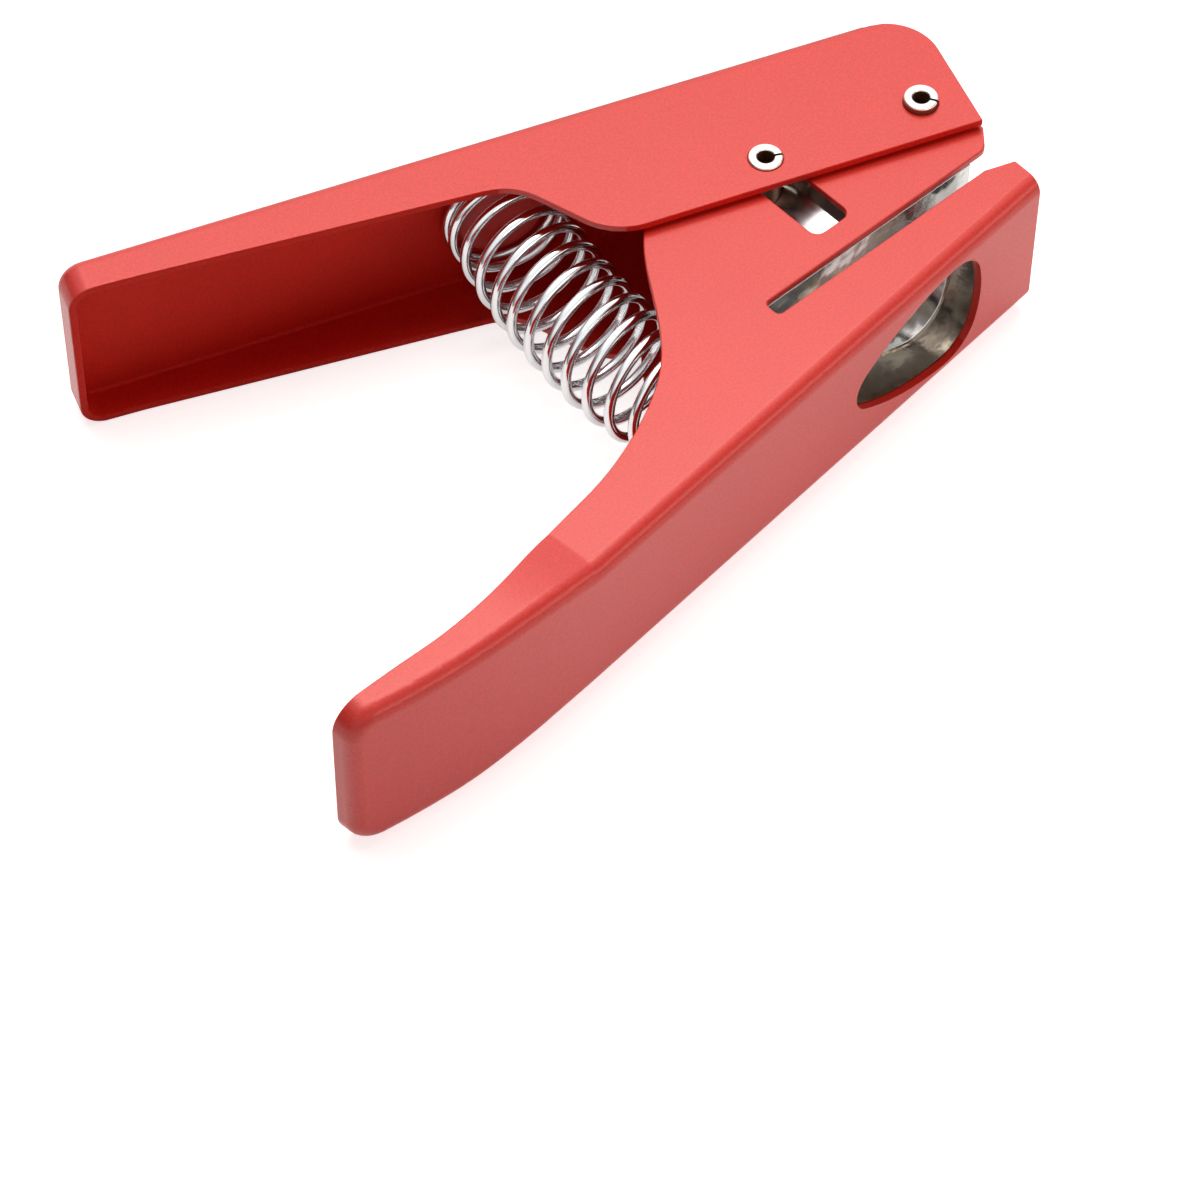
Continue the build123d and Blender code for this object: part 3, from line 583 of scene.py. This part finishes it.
@dataclass
class SpringPin:
    """Rolled spring pin with a slit: its two rounded ends polished, its bore and outer wall darker
    brown as painted shade.
    """

    name: str
    node: str
    slit_deg: float
    body: str = "lever"
    bore_mm: float = 3.2
    slit_mm: float = 0.5
    rim_round_mm: float = 0.45
    arcs: int = 8
    sides: int = 96

    def outline(self, radius_mm: float, length_mm: float) -> np.ndarray:
        """Half section of the wall: a long rectangle whose corners are quarter circles.

        Args:
            radius_mm: Outer radius.
            length_mm: Length of the pin.

        Returns:
            Loop of radius and height, in millimetres, right-handed about the hinge axis.
        """
        bore = self.bore_mm / 2
        turn = np.linspace(0, np.pi / 2, self.arcs + 1)
        size = self.rim_round_mm
        corners = ((radius_mm, 0.0, -np.pi / 2), (radius_mm, length_mm, 0.0),
                   (bore, length_mm, np.pi / 2), (bore, 0.0, np.pi))
        middle = (radius_mm + bore) / 2
        loops = []
        for edge, height, start in corners:
            centre = (edge + math.copysign(size, middle - edge),
                      height + math.copysign(size, length_mm / 2 - height))
            loops.append(np.stack([centre[0] + size * np.cos(start + turn),
                                   centre[1] + size * np.sin(start + turn)], axis=-1))
        return np.concatenate(loops)

    def build(self) -> bpy.types.Object:
        """Turns the outline about the pin's axis, from one wall of the slit to the other.

        A point is the axis plus its radius times cosine and sine of its bearing, and the
        bearing runs from the slit's one wall to the other, which lie half a slit off the axis.

        Returns:
            The pin, which stands for the CAD's one.
        """
        low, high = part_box(self.node)
        middle = (low + high) / 2
        outer = (high.y - low.y) / 2 / MM
        section = self.outline(outer, (high.z - low.z) / MM)
        half_gap = np.arcsin(self.slit_mm / 2 / section[:, 0])
        share = np.linspace(0, 1, self.sides + 1)[:, None]
        bearing = math.radians(self.slit_deg) + half_gap + share * (2 * np.pi - 2 * half_gap)
        rings = np.stack([middle.x + MM * section[:, 0] * np.cos(bearing),
                          middle.y + MM * section[:, 0] * np.sin(bearing),
                          low.z + MM * section[:, 1] * np.ones_like(bearing)], axis=-1)
        mesh = tube_mesh(self.name, rings[:, ::-1])
        piece = make_piece(self.name, mesh, PIN_STEEL.material())
        # The bore and outer wall get a darker brown steel: painted shade.
        mesh.materials.append(PIN_WALL_SHADE_STEEL.material())
        around = len(section)
        column = np.arange(len(mesh.polygons)) % around
        # The bore and the outer wall are the long sides between the section's corner arcs.
        shaded_walls = np.isin(column, (self.arcs, around - 2 - self.arcs))
        mesh.polygons.foreach_set("material_index", shaded_walls.astype(np.int32))
        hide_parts(self.node)
        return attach(piece, self.body)


@dataclass
class RoundedNode:
    """CAD node with its cut edges rounded, as thick paint or an oilstone leaves them.

    The chute's opening in the base web comes near to the bend, so its edges get a smaller round.
    """

    name: str
    node: str
    body: str
    slot: str = "red_paint"
    # Faces that look along inner_way or into the channel get the darker inner finish: painted
    # shade.
    inner_way: tuple[float, float] = (0.0, 0.0)
    inner_dot: float = 0.75
    weld_mm: float = 0.002
    flat_deg: float = 0.05
    edge_round_mm: float = 0.28
    opening_round_mm: float = 0.07
    opening_half_mm: float = 13.3
    web_mm: float = 1.6
    edge_steps: int = 3
    sharp_deg: float = 35.0
    large_face_weight: int = 100

    def round_share(self, edge: bmesh.types.BMEdge) -> float:
        """Share of the full round that an edge gets.

        Args:
            edge: Edge of the joined mesh, in frame metres.

        Returns:
            None of it on a smooth edge, a little on the web's opening, all on any other.
        """
        if len(edge.link_faces) != 2 or edge.calc_face_angle() < math.radians(self.sharp_deg):
            return 0.0
        ends = (np.array([end.co for end in edge.verts]) - TOOL.origin()) / MM
        depth, height = np.abs(ends[:, 1]).max(), np.abs(ends[:, 2]).max()
        if depth < self.web_mm and height < self.opening_half_mm:
            return self.opening_round_mm / self.edge_round_mm
        return 1.0

    def painted_shade_faces(self, mesh: bpy.types.Mesh) -> np.ndarray:
        """Faces inside the channel and cut edges that look the way that its web faces inwards,
        which get the painted shade.

        A face's measure is the root of the squares of two shares of its normal, each at least
        zero: the share along the inward way, and the share from its cheek to the side plane.

        Args:
            mesh: The joined mesh, in frame metres.

        Returns:
            One for each inner face, else zero.
        """
        normals, centres = (np.empty(3 * len(mesh.polygons), dtype=np.float32) for _ in range(2))
        mesh.polygons.foreach_get("normal", normals)
        mesh.polygons.foreach_get("center", centres)
        normals = normals.reshape(-1, 3)
        height = centres.reshape(-1, 3)[:, 2] - TOOL.origin()[2]
        off_web = np.maximum(normals[:, :2] @ np.array(self.inner_way), 0)
        off_cheek = np.maximum(-normals[:, 2] * np.sign(height), 0)
        return (np.hypot(off_web, off_cheek) > self.inner_dot).astype(np.int32)

    def build(self, finish: bpy.types.Material,
              inner: bpy.types.Material | None = None) -> bpy.types.Object:
        """Joins a copy of the node's triangles into whole faces and rounds its sharp edges.

        Args:
            finish: Finish of the piece.
            inner: Darker, matt finish of the channel's inside, where it differs: painted shade.

        Returns:
            The piece, which stands for the node.
        """
        mesh = frame["nodes"][self.node].data.copy()
        mesh.name = self.name
        joined = bmesh.new()
        joined.from_mesh(mesh)
        bmesh.ops.remove_doubles(joined, verts=joined.verts, dist=self.weld_mm * MM)
        bmesh.ops.dissolve_limit(joined, angle_limit=math.radians(self.flat_deg),
                                 verts=joined.verts, edges=joined.edges)
        rounds = joined.edges.layers.float.new("bevel_weight_edge")
        for edge in joined.edges:
            edge.smooth = True
            edge[rounds] = self.round_share(edge)
        for face in joined.faces:
            face.smooth = True
        joined.to_mesh(mesh)
        joined.free()
        if "custom_normal" in mesh.attributes:
            mesh.attributes.remove(mesh.attributes["custom_normal"])
        piece = make_piece(self.name, mesh, finish)
        # The second material darkens the inner faces as painted shade.
        if inner is not None:
            mesh.materials.append(inner)
            mesh.polygons.foreach_set("material_index", self.painted_shade_faces(mesh))
        bevel = piece.modifiers.new("rounded_edges", "BEVEL")
        bevel.width = self.edge_round_mm * MM
        bevel.segments = self.edge_steps
        bevel.limit_method = "WEIGHT"
        bevel.use_clamp_overlap = False
        bevel.harden_normals = True
        even = piece.modifiers.new("even_normals", "WEIGHTED_NORMAL")
        even.keep_sharp = True
        even.weight = self.large_face_weight
        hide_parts(self.node)
        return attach(piece, self.body)


@dataclass
class DieSet:
    """Die block, die plate, guide and the two-part punch, with what holds and guides them."""

    ground: tuple[tuple[str, str], ...] = (("eased_die_plate", "die_plate"),
                                           ("eased_punch_guide", "punch_guide"))
    ground_round_mm: float = 0.14
    milled: tuple[str, ...] = ("die_block",)
    punch: tuple[str, ...] = ("punch_carrier", "punch_cutter")
    screws: tuple[str, ...] = ("clamp_screws", "cutter_screws", "die_screws")
    plain: tuple[str, ...] = ("locating_dowels", "pivot_sleeve", "pivot_washer_near",
                              "pivot_washer_far", "drive_washer_near", "drive_washer_far")
    painted: tuple[str, ...] = ("lower_spring_post", "upper_spring_post")

    def dress(self, paint: bpy.types.Material) -> None:
        """Gives each node the finish of its kind; the spring's posts are painted with the webs.

        Args:
            paint: The enamel of the two shells.
        """
        ground = GROUND_STEEL.material()
        for name, node in self.ground:
            RoundedNode(name, node, "frame", "die_steel",
                        edge_round_mm=self.ground_round_mm).build(ground)
        groups = ((self.milled, BLOCK_STEEL.material()), (self.punch, PUNCH_STEEL.material()),
                  (self.screws, BLACK_OXIDE.material()), (self.plain, PIN_STEEL.material()),
                  (self.painted, paint))
        for names, material in groups:
            for name in names:
                frame["nodes"][name].material_slots[0].material = material
                LOG.info("%s dressed in %s", name, material.name)


@dataclass(frozen=True)
class Screen:
    """Diffusing screen far off: it glows where a direction's dot product with its way is high."""

    way: tuple[float, float, float]
    dim_dot: float
    full_dot: float
    light: float
    gloss: float


@dataclass
class Studio:
    """Pale table, soft lamps, screens and the camera at the photograph's place."""

    eye_mm: tuple[float, float, float] = (-508.6, -341.0, 686.25)
    target_mm: tuple[float, float, float] = (-118.2, 3.2, 1.65)
    roll_deg: float = 0.59
    lens_mm: float = 145.6
    sensor_mm: float = 36.0
    clip_m: tuple[float, float] = (0.01, 20.0)
    table_m: float = 6.0
    table_drop_mm: float = 0.05
    table_colour: str = "#F2F2F2"
    table_roughness: float = 0.9
    table_specular: float = 0.1
    table_glow: float = 0.72
    table_gloss_glow: float = 0.45
    room: float = 0.05
    room_gloss: float = 0.20
    screens: tuple[Screen, ...] = (Screen((0.50, 0.50, 0.70), 0.3, 0.95, 0.35, 1.50),
                                   Screen((-0.45, -0.40, 0.80), 0.35, 0.95, 0.0, 0.90))
    key_watts: float = 8.7
    key_size_m: tuple[float, float] = (0.9, 0.9)
    key_place: tuple[float, float, float] = (0.20, 0.26, 1.10)
    strip_watts: float = 0.66
    strip_size_m: tuple[float, float] = (0.75, 0.12)
    strip_place: tuple[float, float, float] = (0.16, -0.44, 0.18)
    lamp_tint: str = "#FFFBF4"

    def camera(self) -> None:
        """Camera that looks from the eye to the target, rolled a little."""
        eye, target = TOOL.place(np.array([self.eye_mm, self.target_mm]))
        ahead = (target - eye) / np.linalg.norm(target - eye)
        right = np.cross(ahead, (0.0, 0.0, 1.0))
        right /= np.linalg.norm(right)
        above = np.cross(right, ahead)
        roll = math.radians(self.roll_deg)
        turned_right = math.cos(roll) * right + math.sin(roll) * above
        turned_above = math.cos(roll) * above - math.sin(roll) * right
        data = bpy.data.cameras.new("photo_camera")
        data.lens = self.lens_mm
        data.sensor_width = self.sensor_mm
        data.clip_start, data.clip_end = self.clip_m
        camera = bpy.data.objects.new("photo_camera", data)
        axes = np.stack([turned_right, turned_above, -ahead], axis=-1)
        camera.matrix_world = Matrix.Translation(Vector(eye)) @ Matrix(axes.tolist()).to_4x4()
        bpy.context.scene.collection.objects.link(camera)
        bpy.context.scene.camera = camera

    def table(self) -> None:
        """Matt white table, self-lit where the camera sees it, and a little less in a gloss."""
        surface = new_material("matt_white_table")
        rays = add_node(surface, "ShaderNodeLightPath")
        mirrored = add_node(surface, "ShaderNodeMath", {"operation": "MAXIMUM"},
                            in0=rays.outputs["Is Glossy Ray"],
                            in1=rays.outputs["Is Transmission Ray"])
        gloss = add_node(surface, "ShaderNodeMath", {"operation": "MULTIPLY"},
                         in0=mirrored.outputs[0], in1=self.table_gloss_glow)
        glow = add_node(surface, "ShaderNodeMath", {"operation": "MULTIPLY_ADD"},
                        in0=rays.outputs["Is Camera Ray"], in1=self.table_glow,
                        in2=gloss.outputs[0])
        shader = add_node(surface, "ShaderNodeBsdfPrincipled",
                          Base_Color=linear(self.table_colour),
                          Roughness=self.table_roughness,
                          Specular_IOR_Level=self.table_specular, Emission_Color=WHITE,
                          Emission_Strength=glow.outputs[0])
        finish_surface(surface, shader)
        half = self.table_m / 2
        mesh = bpy.data.meshes.new("table")
        corners = [(-half, -half), (half, -half), (half, half), (-half, half)]
        mesh.from_pydata([(x, y, -self.table_drop_mm * MM) for x, y in corners], [],
                         [(0, 1, 2, 3)])
        mesh.materials.append(surface)
        table = bpy.data.objects.new("table", mesh)
        bpy.context.scene.collection.objects.link(table)

    def lamp(self, name: str, place: tuple[float, float, float], watts: float,
             size: tuple[float, float]) -> None:
        """Rectangular soft lamp that faces the tool.

        Args:
            name: Name of the lamp.
            place: Its place in metres.
            watts: Its power.
            size: Its width and height in metres.
        """
        data = bpy.data.lights.new(name, "AREA")
        data.shape = "RECTANGLE"
        data.energy = watts
        data.size, data.size_y = size
        data.color = linear(self.lamp_tint)[:3]
        lamp = bpy.data.objects.new(name, data)
        lamp.location = place
        lamp.rotation_euler = (-Vector(place)).to_track_quat("-Z", "Y").to_euler()
        bpy.context.scene.collection.objects.link(lamp)

    def light(self) -> None:
        """Soft key overhead, a low strip along the base web, screens and a dim room.

        Glossy rays see the room and the screens brighter than these light the tool. The world's
        strength is the room's, plus each screen's times a smooth step of the dot product.
        """
        self.lamp("overhead_key", self.key_place, self.key_watts, self.key_size_m)
        self.lamp("web_strip", self.strip_place, self.strip_watts, self.strip_size_m)
        world = bpy.data.worlds.new("white_surround")
        world.use_nodes = True
        world.node_tree.nodes.clear()
        rays = add_node(world, "ShaderNodeLightPath")
        way = add_node(world, "ShaderNodeTexCoord").outputs["Generated"]
        glow = add_node(world, "ShaderNodeMapRange", Value=rays.outputs["Is Glossy Ray"],
                        in3=self.room, in4=self.room_gloss)
        for screen in self.screens:
            facing = add_node(world, "ShaderNodeVectorMath", {"operation": "DOT_PRODUCT"},
                              in0=way, in1=screen.way)
            lit = add_node(world, "ShaderNodeMapRange", {"interpolation_type": "SMOOTHSTEP"},
                           Value=facing.outputs["Value"], in1=screen.dim_dot,
                           in2=screen.full_dot)
            power = add_node(world, "ShaderNodeMapRange", Value=rays.outputs["Is Glossy Ray"],
                             in3=screen.light, in4=screen.gloss)
            glow = add_node(world, "ShaderNodeMath", {"operation": "MULTIPLY_ADD"},
                            in0=lit.outputs[0], in1=power.outputs[0], in2=glow.outputs[0])
        seen = add_node(world, "ShaderNodeMath", {"operation": "MAXIMUM"},
                        in0=rays.outputs["Is Camera Ray"],
                        in1=rays.outputs["Is Transmission Ray"])
        strength = add_node(world, "ShaderNodeMath", {"operation": "MAXIMUM"},
                            in0=seen.outputs[0], in1=glow.outputs[0])
        background = add_node(world, "ShaderNodeBackground", Color=WHITE,
                              Strength=strength.outputs[0])
        add_node(world, "ShaderNodeOutputWorld", Surface=background.outputs[0])
        bpy.context.scene.world = world

    def build(self) -> None:
        """Sets the camera, the table and the light."""
        self.camera()
        self.table()
        self.light()
        bpy.context.scene.view_settings.view_transform = "Standard"


def main() -> None:
    """Builds the studio and dresses the tool, one sub-assembly after the other."""
    logging.basicConfig(level=logging.INFO, format="%(name)s: %(message)s")
    Studio().build()
    # The second enamel is a darker, matt copy that paints shade inside the channels.
    paint, shaded_inner_paint = ENAMEL.material(), SHADED_INNER_ENAMEL.material()
    pieces = [
        RoundedNode("body_shell", "body_frame", "frame",
                    inner_way=(0.0, 1.0)).build(paint, shaded_inner_paint),
        RoundedNode("lever_shell", "lever", "lever",
                    inner_way=(0.0, -1.0)).build(paint, shaded_inner_paint),
        SpringPin("pivot_spring_pin", "pivot_pin", -67.0).build(),
        SpringPin("drive_spring_pin", "drive_pin", -38.0).build(),
        ReturnSpring().build(),
    ]
    DieSet().dress(paint)
    for piece in pieces:
        LOG.info("%s has %d faces", piece.name, len(piece.data.polygons))


if __name__ == "__main__":
    main()
